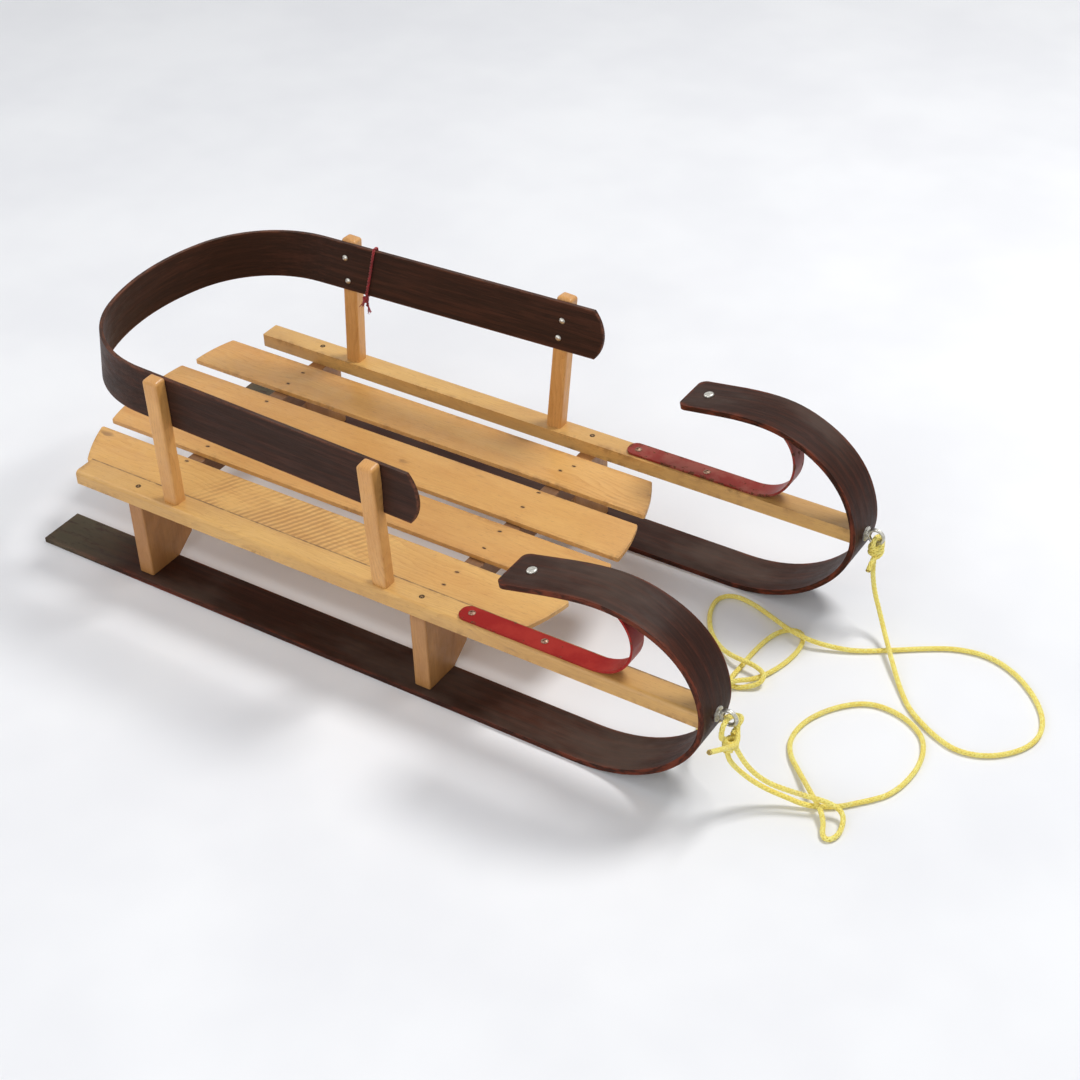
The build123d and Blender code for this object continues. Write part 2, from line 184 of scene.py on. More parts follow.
# The pull rope's two stretches, from knot to knot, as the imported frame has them
main_line = (
    (0.5012, 0.188, 0.1003), (0.5012, 0.188, 0.0883), (0.5032, 0.184, 0.0743), (0.5092, 0.180, 0.0523),
    (0.5222, 0.171, 0.0313), (0.5362, 0.156, 0.0173), (0.5522, 0.135, 0.0123), (0.5682, 0.113, 0.0093),
    (0.5892, 0.086, 0.0043), (0.6132, 0.058, 0.0033), (0.6362, 0.042, 0.0033), (0.6622, 0.027, 0.0033),
    (0.6932, 0.017, 0.0033), (0.7282, 0.027, 0.0033), (0.7572, 0.057, 0.0033), (0.7662, 0.090, 0.0033),
    (0.7562, 0.124, 0.0033), (0.7302, 0.156, 0.0033), (0.6972, 0.181, 0.0033), (0.6592, 0.194, 0.0033),
    (0.6192, 0.187, 0.0033), (0.5842, 0.166, 0.0033), (0.5502, 0.142, 0.0033), (0.5152, 0.119, 0.0033),
    (0.4842, 0.107, 0.0073), (0.4592, 0.100, 0.0123), (0.4292, 0.106, 0.0123), (0.3972, 0.124, 0.0063),
    (0.3622, 0.139, 0.0033), (0.3352, 0.141, 0.0033), (0.3212, 0.127, 0.0033), (0.3222, 0.106, 0.0033),
    (0.3312, 0.083, 0.0033), (0.3492, 0.057, 0.0033), (0.3772, 0.035, 0.0063), (0.4022, 0.025, 0.0123),
    (0.4272, 0.024, 0.0123), (0.4452, 0.015, 0.0123), (0.4452, 0.001, 0.0083), (0.4312, -0.008, 0.0033),
    (0.4172, -0.016, 0.0033), (0.4072, -0.005, 0.0033), (0.4082, 0.018, 0.0033), (0.4082, 0.045, 0.0033),
    (0.4102, 0.075, 0.0033), (0.4152, 0.100, 0.0033), (0.4272, 0.116, 0.0033), (0.4422, 0.119, 0.0033),
    (0.4522, 0.106, 0.0033), (0.4552, 0.082, 0.0033), (0.4512, 0.054, 0.0033), (0.4432, 0.029, 0.0033),
    (0.4332, 0.006, 0.0063), (0.4222, -0.010, 0.0123), (0.4122, -0.022, 0.0123), (0.4072, -0.046, 0.0073),
    (0.4112, -0.076, 0.0033), (0.4212, -0.106, 0.0103), (0.4322, -0.130, 0.0283), (0.4452, -0.145, 0.0503),
    (0.4592, -0.148, 0.0683), (0.4742, -0.147, 0.0833), (0.4892, -0.148, 0.0953), (0.5012, -0.155, 0.1023),
    (0.5022, -0.168, 0.1013), (0.5022, -0.181, 0.0983),
)
loop_line = (
    (0.5012, -0.192, 0.0893), (0.5022, -0.192, 0.0743), (0.5072, -0.188, 0.0603), (0.5162, -0.180, 0.0443),
    (0.5262, -0.173, 0.0313), (0.5412, -0.166, 0.0203), (0.5612, -0.158, 0.0113), (0.5812, -0.153, 0.0053),
    (0.5992, -0.144, 0.0033), (0.6162, -0.133, 0.0033), (0.6292, -0.119, 0.0033), (0.6442, -0.103, 0.0033),
    (0.6562, -0.087, 0.0033), (0.6642, -0.058, 0.0033), (0.6652, -0.021, 0.0033), (0.6542, 0.013, 0.0033),
    (0.6322, 0.033, 0.0033), (0.6012, 0.044, 0.0033), (0.5692, 0.042, 0.0033), (0.5412, 0.018, 0.0033),
    (0.5202, -0.019, 0.0033), (0.5162, -0.057, 0.0033), (0.5282, -0.085, 0.0033), (0.5542, -0.110, 0.0063),
    (0.5822, -0.138, 0.0113), (0.6022, -0.155, 0.0113), (0.6132, -0.169, 0.0073), (0.6172, -0.181, 0.0043),
    (0.6242, -0.188, 0.0033), (0.6322, -0.182, 0.0033), (0.6342, -0.168, 0.0043), (0.6292, -0.150, 0.0083),
    (0.6192, -0.145, 0.0133), (0.6042, -0.148, 0.0183), (0.5852, -0.154, 0.0213), (0.5662, -0.160, 0.0253),
    (0.5442, -0.169, 0.0333), (0.5272, -0.178, 0.0503), (0.5142, -0.184, 0.0723), (0.5072, -0.186, 0.0893),
)


# Materials
def new_material(name):
    """An empty material with its surface shader: the tree and the shader."""
    material = bpy.data.materials.new(name)
    material.use_nodes = True
    tree = material.node_tree
    return material, tree, tree.nodes["Principled BSDF"]


def noise(tree, vector, size, detail=3.0, rough=0.55, twist=0.0):
    """Soft noise, between about 0.3 and 0.7, with size in features per metre."""
    return out(tree, "ShaderNodeTexNoise", {"Vector": vector, "Scale": size, "Detail": detail,
                                            "Roughness": rough, "Distortion": twist})


def stretched(tree, vector, along, across, through):
    """Coordinates scaled differently along, across and through a board."""
    return arrows(tree, "MULTIPLY", vector, (along, across, through))


def tint_attribute(tree, name):
    """A number kept on the mesh."""
    return put(tree, "ShaderNodeAttribute", attribute_name=name).outputs["Fac"]


def relief(tree, height, strength, depth):
    """The surface's direction, tilted by a height."""
    return out(tree, "ShaderNodeBump", {"Height": height, "Strength": strength, "Distance": depth})


def grain_group():
    """Wood grain as masks: growth rings, fibres, slow drift, pores and a few dark spots."""
    tree = bpy.data.node_groups.new("board grain", "ShaderNodeTree")
    sockets(tree, "INPUT", "Vector", "Grain")
    sockets(tree, "INPUT", "Float", "Rings")[0].default_value = 60.0
    sockets(tree, "OUTPUT", "Float", "Ring", "Fibre", "Drift", "Pore", "Spot")
    source = put(tree, "NodeGroupInput").outputs
    grain = source["Grain"]
    sway = noise(tree, stretched(tree, grain, 3.0, 11.0, 11.0), 1.0, 3.0)
    sway = times(tree, maths(tree, "SUBTRACT", sway, 0.5), 0.09)
    offset = out(tree, "ShaderNodeCombineXYZ", {1: sway, 2: -0.035})
    bent = arrows(tree, "ADD", stretched(tree, grain, 0.06, 1.0, 1.0), offset)
    wave = put(tree, "ShaderNodeTexWave", {"Vector": bent, "Scale": source["Rings"], "Distortion": 2.6,
                                           "Detail": 3.0, "Detail Scale": 1.8},
               wave_type="RINGS", rings_direction="X", wave_profile="SAW")
    fibre = noise(tree, stretched(tree, grain, 22.0, 700.0, 700.0), 1.0, 4.0, 0.7)
    drift = noise(tree, stretched(tree, grain, 3.0, 17.0, 17.0), 1.0, 3.0)
    pore = noise(tree, stretched(tree, grain, 90.0, 1300.0, 1300.0), 1.0, 2.0)
    spot = noise(tree, stretched(tree, grain, 14.0, 44.0, 44.0), 1.0, 2.0, 0.5, 0.6)
    put(tree, "NodeGroupOutput", {
        "Ring": wave.outputs["Fac"], "Fibre": spread(tree, fibre, 0.3, 0.7),
        "Drift": spread(tree, drift, 0.3, 0.7), "Pore": spread(tree, pore, 0.60, 0.72),
        "Spot": spread(tree, spot, 0.70, 0.80)})
    return tree


grain_masks = grain_group()


def board_parts(tree, rings):
    """The grain masks at this board's own place in the wood."""
    grain = put(tree, "ShaderNodeAttribute", attribute_name="grain").outputs["Vector"]
    group = put(tree, "ShaderNodeGroup", node_tree=grain_masks)
    feed(tree, group, {"Grain": grain, "Rings": rings})
    return grain, group.outputs


def pale_wood(name, pale, deep, streak, rings=62.0, gloss=0.42, figure=False):
    """Clear-varnished pale wood: rings, fibres, dirt along the edges, rust round the nails, painted shade
    along a seam.

    With figure, ripple marks cross the grain over part of the board's length."""
    material, tree, surface = new_material(name)
    grain, masks = board_parts(tree, rings)
    ring = maths(tree, "POWER", masks["Ring"], 2.2)
    faint = noise(tree, stretched(tree, grain, 4.0, 14.0, 14.0), 1.0, 3.0)
    faint = spread(tree, faint, 0.35, 0.65, 0.10, 0.48)
    colour = mix(tree, times(tree, ring, faint), pale, deep)
    colour = mix(tree, times(tree, masks["Drift"], 0.6), colour, streak)
    cloud = spread(tree, noise(tree, stretched(tree, grain, 9.0, 26.0, 26.0), 1.0, 5.0, 0.6), 0.40, 0.66)
    colour = mix(tree, times(tree, cloud, 0.28), colour, deep)
    colour = mix(tree, times(tree, tint_attribute(tree, "shade"), 0.45), colour, deep)
    colour = mix(tree, times(tree, masks["Fibre"], 0.16), colour, deep, "MULTIPLY")
    colour = mix(tree, times(tree, masks["Pore"], 0.35), colour, tone(120, 70, 30))
    colour = mix(tree, times(tree, masks["Spot"], 0.6), colour, tone(105, 62, 30))
    bump = maths(tree, "ADD", times(tree, masks["Fibre"], 0.5), times(tree, ring, 0.5))
    if figure:
        lean = out(tree, "ShaderNodeMapping", {"Vector": grain, "Rotation": (0, 0, 0.5)})
        ripple = put(tree, "ShaderNodeTexWave", {"Vector": lean, "Scale": 38.0, "Distortion": 2.2,
                                                 "Detail": 2.0, "Detail Scale": 0.8},
                     bands_direction="X").outputs["Fac"]
        place = out(tree, "ShaderNodeSeparateXYZ", {0: grain})
        reach = times(tree, spread(tree, place, -0.32, -0.26), spread(tree, place, 0.02, -0.06))
        patch = times(tree, reach, spread(tree, noise(tree, grain, 12.0), 0.35, 0.6))
        ripple = times(tree, times(tree, ripple, patch), 0.6)
        colour = mix(tree, ripple, colour, tone(150, 98, 46))
    scuff = noise(tree, grain, 90.0, 4.0, 0.65)
    edge = tint_attribute(tree, "edge")
    patchy = spread(tree, noise(tree, grain, 16.0, 3.0), 0.40, 0.62)
    dirt = times(tree, times(tree, edge, spread(tree, scuff, 0.38, 0.62)), patchy)
    colour = mix(tree, times(tree, dirt, 0.65), colour, tone(116, 72, 36))
    # This tint is rust round the nails and, along a rail's seam with the slat, painted shade
    stain_and_shade = times(tree, tint_attribute(tree, "stain_and_shade"), spread(tree, scuff, 0.30, 0.62, 0.25, 0.85))
    colour = mix(tree, stain_and_shade, colour, tone(78, 48, 28))
    uneven = spread(tree, noise(tree, grain, 60.0, 4.0), 0.3, 0.7, gloss - 0.08, gloss + 0.12)
    rough = maths(tree, "ADD", uneven, times(tree, dirt, 0.2))
    feed(tree, surface, {"Base Color": colour, "Roughness": rough, "Coat Weight": 0.25,
                         "Coat Roughness": 0.25, "Normal": relief(tree, bump, 0.25, 0.0004)})
    return material


def dark_wood(name, dark, streak, worn, dust_and_sheen_tone, rings=48.0, weathered=False):
    """Dark-stained wood under varnish: faint figure, reddish worn edges, scratches, dust and a painted sheen
    on top.

    Weathered wood is also grey and bare where its mesh says so."""
    material, tree, surface = new_material(name)
    grain, masks = board_parts(tree, rings)
    ring = maths(tree, "POWER", masks["Ring"], 1.5)
    long_streak = noise(tree, stretched(tree, grain, 5.0, 150.0, 150.0), 1.0, 4.0, 0.6)
    colour = mix(tree, times(tree, spread(tree, long_streak, 0.42, 0.68), 0.7), dark, streak)
    colour = mix(tree, times(tree, ring, 0.18), colour, streak)
    colour = mix(tree, times(tree, masks["Drift"], 0.3), colour, tone(34, 20, 15))
    colour = mix(tree, times(tree, masks["Fibre"], 0.35), colour, tone(22, 13, 10))
    scuff = noise(tree, stretched(tree, grain, 30.0, 110.0, 110.0), 1.0, 5.0, 0.7)
    scratch = noise(tree, stretched(tree, grain, 12.0, 420.0, 420.0), 1.0, 3.0, 0.6, 0.4)
    scratch = times(tree, spread(tree, scratch, 0.63, 0.72), spread(tree, scuff, 0.5, 0.66))
    colour = mix(tree, times(tree, scratch, 0.4), colour, worn)
    edge = tint_attribute(tree, "edge")
    rub = times(tree, spread(tree, edge, 0.25, 1.0), spread(tree, scuff, 0.40, 0.60))
    colour = mix(tree, times(tree, rub, 0.7), colour, worn)
    # Dust and painted sheen: faces that point up turn greyish, which stands in for the reflection on the tops
    # as well as for dust
    dust_and_sheen = noise(tree, stretched(tree, grain, 5.0, 12.0, 12.0), 1.0, 4.0, 0.6)
    dust_and_sheen = spread(tree, dust_and_sheen, 0.40, 0.68, 0.03, 0.45)
    dust_and_sheen = times(tree, dust_and_sheen, spread(tree, tint_attribute(tree, "up"), 0.55, 1.0))
    colour = mix(tree, dust_and_sheen, colour, dust_and_sheen_tone)
    rough = spread(tree, scuff, 0.3, 0.7, 0.42, 0.56)
    if weathered:
        bare = times(tree, tint_attribute(tree, "bare"), spread(tree, scuff, 0.30, 0.52))
        colour = mix(tree, times(tree, bare, 0.75), colour, tone(96, 90, 74))
        rough = maths(tree, "ADD", rough, times(tree, bare, 0.25))
    height = maths(tree, "ADD", times(tree, masks["Fibre"], 0.7), times(tree, scuff, 0.3))
    feed(tree, surface, {"Base Color": colour, "Roughness": rough, "Specular IOR Level": 0.10,
                         "Normal": relief(tree, height, 0.25, 0.0004)})
    return material


def strap_paint(name, paint, faded, chipped):
    """Red paint on steel, chipped to rust along its edges and faded in patches."""
    material, tree, surface = new_material(name)
    place = put(tree, "ShaderNodeTexCoord").outputs["Object"]
    cloud = noise(tree, place, 28.0, 4.0, 0.6)
    chips = noise(tree, place, 130.0, 5.0, 0.6)
    edge = tint_attribute(tree, "edge")
    colour = mix(tree, spread(tree, cloud, 0.42, 0.66), paint, faded)
    bare = maths(tree, "ADD", chips, times(tree, edge, 0.10))
    bare = spread(tree, bare, chipped, chipped + 0.04)
    rust = mix(tree, spread(tree, noise(tree, place, 900.0), 0.4, 0.6), tone(70, 34, 20), tone(122, 74, 52))
    colour = mix(tree, bare, colour, rust)
    rough = spread(tree, maths(tree, "ADD", bare, cloud), 0.3, 1.4, 0.32, 0.8)
    height = maths(tree, "SUBTRACT", times(tree, chips, 0.2), bare)
    feed(tree, surface, {"Base Color": colour, "Roughness": rough, "Specular IOR Level": 0.16,
                         "Normal": relief(tree, height, 0.5, 0.0002)})
    return material


def plated(name, bright, dull, rough, spots=0.6):
    """Plated steel that has dulled, with a little rust in places."""
    material, tree, surface = new_material(name)
    place = put(tree, "ShaderNodeTexCoord").outputs["Object"]
    cloud = noise(tree, place, 500.0, 4.0, 0.6)
    colour = mix(tree, spread(tree, cloud, 0.35, 0.7), bright, dull)
    rust = spread(tree, noise(tree, place, 900.0, 4.0, 0.7), spots, spots + 0.1)
    colour = mix(tree, times(tree, rust, 0.8), colour, tone(92, 58, 38))
    metal = maths(tree, "SUBTRACT", 1.0, times(tree, rust, 0.8))
    feed(tree, surface, {"Base Color": colour, "Metallic": metal,
                         "Roughness": spread(tree, cloud, 0.3, 0.7, rough, rough + 0.2),
                         "Normal": relief(tree, cloud, 0.2, 0.0002)})
    return material


def rope_fibre(name, bright, deep, darkening):
    """Twisted plastic fibre: fine lines along each strand, grime between the strands."""
    material, tree, surface = new_material(name)
    run = tint_attribute(tree, "run")
    strand = tint_attribute(tree, "strand")
    place = put(tree, "ShaderNodeTexCoord").outputs["Object"]
    line = out(tree, "ShaderNodeCombineXYZ", {0: times(tree, run, 60.0), 1: times(tree, strand, 7.3)})
    band = noise(tree, line, 1.0, 3.0)
    fibre = noise(tree, place, 2600.0, 3.0)
    colour = mix(tree, spread(tree, band, 0.35, 0.65), bright, deep)
    colour = mix(tree, times(tree, spread(tree, fibre, 0.35, 0.7), 0.35), colour, deep)
    grime = spread(tree, noise(tree, place, 35.0, 4.0, 0.65), 0.56, 0.74)
    colour = mix(tree, times(tree, grime, 0.45), colour, darkening)
    feed(tree, surface, {"Base Color": colour, "Roughness": 0.5, "Sheen Weight": 0.15,
                         "Normal": relief(tree, fibre, 0.4, 0.0003)})
    return material


# The sled's finishes, with painted shade in the leg and crossbar woods and a painted sheen on the dark woods'
# tops
rope_yellow = rope_fibre("rope yellow", tone(253, 242, 140), tone(244, 220, 98), tone(220, 204, 142))
rope_core = rope_fibre("rope core", tone(230, 206, 84), tone(206, 178, 62), tone(178, 158, 88))
rope_melted = rope_fibre("rope melted", tone(176, 148, 62), tone(120, 94, 40), tone(84, 66, 38))
string_red = rope_fibre("string red", tone(176, 40, 46), tone(122, 22, 28), tone(96, 34, 32))
slat_wood = pale_wood("slat wood", tone(228, 178, 104), tone(196, 134, 62), tone(210, 148, 74))
slat_figured = pale_wood("slat wood figured", tone(229, 182, 106), tone(198, 138, 67), tone(213, 157, 80),
                         figure=True)
rail_wood = pale_wood("rail wood", tone(226, 180, 104), tone(184, 134, 72), tone(202, 154, 88), 80.0)
post_wood = pale_wood("post wood", tone(222, 168, 98), tone(180, 120, 54), tone(204, 142, 72), 70.0)
# Legs: their own orange-brown tone, darkened further with painted shade for their place under the deck
leg_wood_shaded = pale_wood("leg wood shaded", tone(188, 136, 78), tone(134, 84, 42), tone(158, 104, 56), 55.0, 0.5)
# Crossbars: painted shade, a dark brown for their place under the deck, where the wood itself is as pale as
# the slats
crossbar_wood_shaded = pale_wood("crossbar wood shaded", tone(140, 98, 60), tone(96, 62, 36), tone(114, 78, 48), 60.0, 0.55)
# The last tone of the runner and guard woods is the greyish dust and painted sheen on their upward faces
runner_wood = dark_wood("runner wood", tone(49, 26, 17), tone(80, 41, 27), tone(122, 58, 38),
                        tone(98, 84, 75), weathered=True)
guard_wood = dark_wood("guard wood", tone(56, 37, 29), tone(82, 50, 38), tone(118, 72, 52),
                       tone(96, 84, 76), 40.0)
strap_red = strap_paint("strap red", tone(146, 21, 15), tone(160, 40, 30), 0.69)
strap_faded = strap_paint("strap faded", tone(134, 44, 36), tone(148, 78, 66), 0.62)
zinc = plated("zinc", tone(214, 212, 204), tone(158, 156, 148), 0.28)
dull_steel = plated("dull steel", tone(172, 144, 124), tone(120, 78, 62), 0.45, 0.5)
nail_steel = plated("nail steel", tone(58, 44, 35), tone(38, 28, 21), 0.55, 0.42)
hole_steel = plated("hole steel", tone(66, 56, 46), tone(36, 28, 22), 0.5, 0.5)


# Ropes: strands laid round each line, half of them one way and half the other
def strand_tree():
    """The tree that lays strands round a line, which a rope and a string share."""
    tree = bpy.data.node_groups.new("strands round a line", "GeometryNodeTree")
    sockets(tree, "INPUT", "Geometry", "Geometry")
    for label, kind, value in (
            ("Strands", "Int", 8), ("Per Turn", "Float", 4.0), ("Pitch", "Float", 0.02),
            ("Lay Radius", "Float", 0.00244), ("Weave", "Float", 0.00025), ("Strand Width", "Float", 0.0013),
            ("Strand Height", "Float", 0.0006), ("Core Radius", "Float", 0.002), ("Step", "Float", 0.0013)):
        sockets(tree, "INPUT", kind, label)[0].default_value = value
    sockets(tree, "INPUT", "Material", "Strand Material", "Core Material")
    sockets(tree, "OUTPUT", "Geometry", "Geometry")
    source = put(tree, "NodeGroupInput").outputs
    line = out(tree, "GeometryNodeResampleCurve", {"Curve": source["Geometry"], "Length": source["Step"]},
               mode="LENGTH")
    many = put(tree, "GeometryNodeDuplicateElements", {"Geometry": line, "Amount": source["Strands"]},
               domain="SPLINE")
    number = many.outputs["Duplicate Index"]
    run = put(tree, "GeometryNodeSplineParameter").outputs["Length"]
    turn = times(tree, maths(tree, "DIVIDE", run, source["Pitch"]), full_turn)
    group = maths(tree, "FLOOR", maths(tree, "DIVIDE", number, source["Per Turn"]))
    way = maths(tree, "SUBTRACT", 1.0, times(tree, group, 2.0))
    share = maths(tree, "DIVIDE", times(tree, number, full_turn), source["Per Turn"])
    angle = maths(tree, "ADD", times(tree, way, turn), share)
    swing = maths(tree, "COSINE", times(tree, turn, source["Per Turn"]))
    reach = maths(tree, "ADD", source["Lay Radius"],
                  times(tree, times(tree, way, swing), source["Weave"]))
    normal = out(tree, "GeometryNodeInputNormal")
    tangent = out(tree, "GeometryNodeInputTangent")
    outward = arrows(tree, "ADD", scaled(tree, normal, maths(tree, "COSINE", angle)),
                     scaled(tree, arrows(tree, "CROSS_PRODUCT", tangent, normal), maths(tree, "SINE", angle)))
    kept = many.outputs["Geometry"]
    for label, kind, value in (("outward", "FLOAT_VECTOR", outward), ("run", "FLOAT", run),
                               ("strand", "FLOAT", number)):
        kept = out(tree, "GeometryNodeStoreNamedAttribute", {"Geometry": kept, "Name": label, "Value": value},
                   data_type=kind, domain="POINT")
    facing = out(tree, "GeometryNodeInputNamedAttribute", {"Name": "outward"}, data_type="FLOAT_VECTOR")
    moved = out(tree, "GeometryNodeSetPosition", {"Geometry": kept, "Offset": scaled(tree, facing, reach)})
    faced = out(tree, "GeometryNodeSetCurveNormal", {"Curve": moved, "Normal": facing}, mode="FREE")
    circle = out(tree, "GeometryNodeCurvePrimitiveCircle", {"Resolution": 6, "Radius": 1.0})
    flat = out(tree, "ShaderNodeCombineXYZ", {0: source["Strand Height"], 1: source["Strand Width"], 2: 1.0})
    profile = out(tree, "GeometryNodeTransform", {"Geometry": circle, "Scale": flat})
    strands = out(tree, "GeometryNodeCurveToMesh", {"Curve": faced, "Profile Curve": profile,
                                                    "Fill Caps": True})
    strands = out(tree, "GeometryNodeRealizeInstances", {"Geometry": strands})
    strands = out(tree, "GeometryNodeSetMaterial", {"Geometry": strands,
                                                    "Material": source["Strand Material"]})
    round_core = out(tree, "GeometryNodeCurvePrimitiveCircle", {"Resolution": 8,
                                                                "Radius": source["Core Radius"]})
    core = out(tree, "GeometryNodeCurveToMesh", {"Curve": line, "Profile Curve": round_core,
                                                 "Fill Caps": True})
    core = out(tree, "GeometryNodeSetMaterial", {"Geometry": core, "Material": source["Core Material"]})
    both = put(tree, "GeometryNodeJoinGeometry")
    tree.links.new(core, both.inputs[0])
    tree.links.new(strands, both.inputs[0])
    put(tree, "NodeGroupOutput", {"Geometry": both.outputs[0]})
    return tree


strand_layer = strand_tree()
same_place = 1e-5


def set_inputs(modifier, values):
    """Sets a modifier's named inputs, by their sockets' identifiers."""
    for item in modifier.node_group.interface.items_tree:
        if item.in_out == "INPUT" and item.name in values:
            modifier[item.identifier] = values[item.name]


def nurbs_line(routes, name):
    """Smooth lines that have these routes' points as their control points."""
    data = bpy.data.curves.new(name, "CURVE")
    data.dimensions = "3D"
    data.resolution_u = 16
    for points in routes:
        spline = data.splines.new("NURBS")
        spline.points.add(len(points) - 1)
        for spot, place in zip(spline.points, points):
            spot.co = (*place, 1.0)
        spline.order_u = 3
        spline.use_endpoint_u = True
    return link(bpy.data.objects.new(name, data))


def laid(name, fibre, core, *routes, **sizes):
    """Rope or string along each route of points, and the places on the line it follows."""
    line = nurbs_line(routes, name + "_line")
    middle = plain_mesh(line, name + "_middle")
    path = [middle.vertices[0].co.copy()]
    for vertex in middle.vertices:
        if (vertex.co - path[-1]).length > same_place:
            path.append(vertex.co.copy())
    path = [tuple(place) for place in path]
    bpy.data.meshes.remove(middle)
    layer = line.modifiers.new("strands", "NODES")
    layer.node_group = strand_layer
    set_inputs(layer, {"Strand Material": fibre, "Core Material": core, **sizes})
    mesh = plain_mesh(line, name)
    smooth(mesh)
    bpy.data.objects.remove(line)
    piece = link(bpy.data.objects.new(name, mesh))
    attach(piece, "root")
    return piece, path


rope_main, main_path = laid("pull_rope_main", rope_yellow, rope_core, main_line)
rope_loop, loop_path = laid("pull_rope_loop", rope_yellow, rope_core, loop_line)
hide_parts("rope_main")
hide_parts("rope_loop")


# Knots: the rope's end goes through each tow ring and winds round itself to a cut tail
def wraps(middle, wide, deep, top, bottom, turns, start):
    """Points that wind round a standing rope, from one height to another."""
    points_per_turn = 7
    steps = int(turns * points_per_turn)
    points = []
    for step in range(steps + 1):
        angle = start + full_turn * turns * step / steps
        points.append((middle[0] + deep * math.sin(angle), middle[1] + wide * math.cos(angle),
                       top + (bottom - top) * step / steps))
    return points


knot_left_line = [(0.5012, 0.1880, 0.0900), (0.5010, 0.1885, 0.1000), (0.5010, 0.1850, 0.1120),
                  (0.5009, 0.1815, 0.1210), (0.5009, 0.1850, 0.1268), (0.5009, 0.1945, 0.1264)]
knot_left_line += wraps((0.5014, 0.1918), 0.0122, 0.0070, 0.1180, 0.1030, 2.3, 0.15)
knot_left_line += [(0.5045, 0.1790, 0.1040), (0.5045, 0.1730, 0.1010), (0.5040, 0.1690, 0.0965),
                   (0.5035, 0.1665, 0.0915)]
knot_right_line = [(0.5042, -0.1890, 0.0790), (0.5042, -0.1890, 0.0850)]
knot_right_line += wraps((0.5042, -0.1890), 0.0086, 0.0070, 0.0850, 0.0985, 2.2, math.pi)
knot_right_line += [(0.4990, -0.2010, 0.1050), (0.5009, -0.2060, 0.1160), (0.5009, -0.2030, 0.1265),
                    (0.5009, -0.1940, 0.1290), (0.5009, -0.1840, 0.1265), (0.5012, -0.1735, 0.1190),
                    (0.5020, -0.1695, 0.1090), (0.5050, -0.1745, 0.1000), (0.5110, -0.1850, 0.0955),
                    (0.5125, -0.1970, 0.0980), (0.5090, -0.2140, 0.1060), (0.5035, -0.2390, 0.1180)]
knot_left, knot_left_path = laid("pull_knot_left", rope_yellow, rope_core, knot_left_line)
knot_right, knot_right_path = laid("pull_knot_right", rope_yellow, rope_core, knot_right_line)
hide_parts("knot_left")
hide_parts("knot_right")


# Red string: two thin strands twisted together, tied round the guard with frayed ends
fray_fibres = 14
fray_bend = 0.0022
fray_flare = 1.4
tie_line = [(-0.2535, 0.1836, 0.2440), (-0.2512, 0.1829, 0.2530), (-0.2475, 0.1835, 0.2680),
            (-0.2432, 0.1841, 0.2850), (-0.2388, 0.1849, 0.3050), (-0.2362, 0.1854, 0.3170),
            (-0.2358, 0.1868, 0.3218), (-0.2358, 0.1902, 0.3222), (-0.2358, 0.1946, 0.3212),
            (-0.2366, 0.1949, 0.3100), (-0.2400, 0.1944, 0.2950), (-0.2445, 0.1937, 0.2780),
            (-0.2490, 0.1929, 0.2600), (-0.2520, 0.1922, 0.2490), (-0.2530, 0.1900, 0.2468),
            (-0.2536, 0.1862, 0.2462)]
tie_line += wraps((-0.2544, 0.1840), 0.0027, 0.0029, 0.2470, 0.2385, 3.2, 0.5)
tie_line += [(-0.2535, 0.1845, 0.2355), (-0.2515, 0.1846, 0.2320)]
frays = []
for fray_from, fray_to in (((-0.2518, 0.1846, 0.2335), (-0.2488, 0.1846, 0.2245)),
                           ((-0.2560, 0.1838, 0.2410), (-0.2605, 0.1830, 0.2330))):
    for fibre in range(fray_fibres):
        bend = [chance.uniform(-fray_bend, fray_bend) for axis in range(6)]
        halfway = [(a + b) / 2 + c for a, b, c in zip(fray_from, fray_to, bend[:3])]
        tip = [b + fray_flare * c for b, c in zip(fray_to, bend[3:])]
        frays.append([fray_from, halfway, tip])
tie = laid("string_tie_round_guard", string_red, string_red, tie_line, **{
    "Strands": 2, "Per Turn": 2.0, "Pitch": 0.009, "Lay Radius": 0.00115, "Weave": 0.0,
    "Strand Width": 0.00108, "Strand Height": 0.00108, "Core Radius": 0.0003, "Step": 0.0008})[0]
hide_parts("string_tie")
laid("string_frays", string_red, string_red, *frays, **{
    "Strands": 1, "Per Turn": 1.0, "Pitch": 0.01, "Lay Radius": 0.0, "Weave": 0.0,
    "Strand Width": 0.00036, "Strand Height": 0.00036, "Core Radius": 0.0001, "Step": 0.001})


# Boards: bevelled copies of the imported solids, with the grain's direction kept on them
grain_axes = {"x": (0, 1, 2), "y": (1, 0, 2), "z": (2, 0, 1)}

# A runner's middle line, ahead and up, from its rear end to its tip
curl_path = [Vector(spot) for spot in (
    (-0.5128, 0.0035), (0.3140, 0.0035), (0.3642, 0.0095), (0.4142, 0.0301), (0.4551, 0.0650),
    (0.4777, 0.1019), (0.4837, 0.1330), (0.4787, 0.1667), (0.4656, 0.1958), (0.4400, 0.2239),
    (0.4004, 0.2455), (0.3497, 0.2545), (0.2909, 0.2485), (0.2312, 0.2374))]
worn_run = 0.10

# The guard's bend round the rear: where it starts, its radius and its length on each side
guard_bend_start = -0.27
guard_bend_radius = 0.185
guard_bend_run = 0.29

# How far the tints reach from an edge, a nail and a seam with painted shade, and where the mesh is cut for
# them
edge_step = 0.002
edge_reach = 0.0022
stain_reach = 0.0042
seam_width = 0.0014
seam_depth = 0.0012
seam_shade = 0.9
seam_cuts = (0.0013, 0.0024)
nail_cuts = (0.0012, 0.0026, 0.0044)
sharp_angle = math.radians(35)
flat_angle = math.radians(0.4)


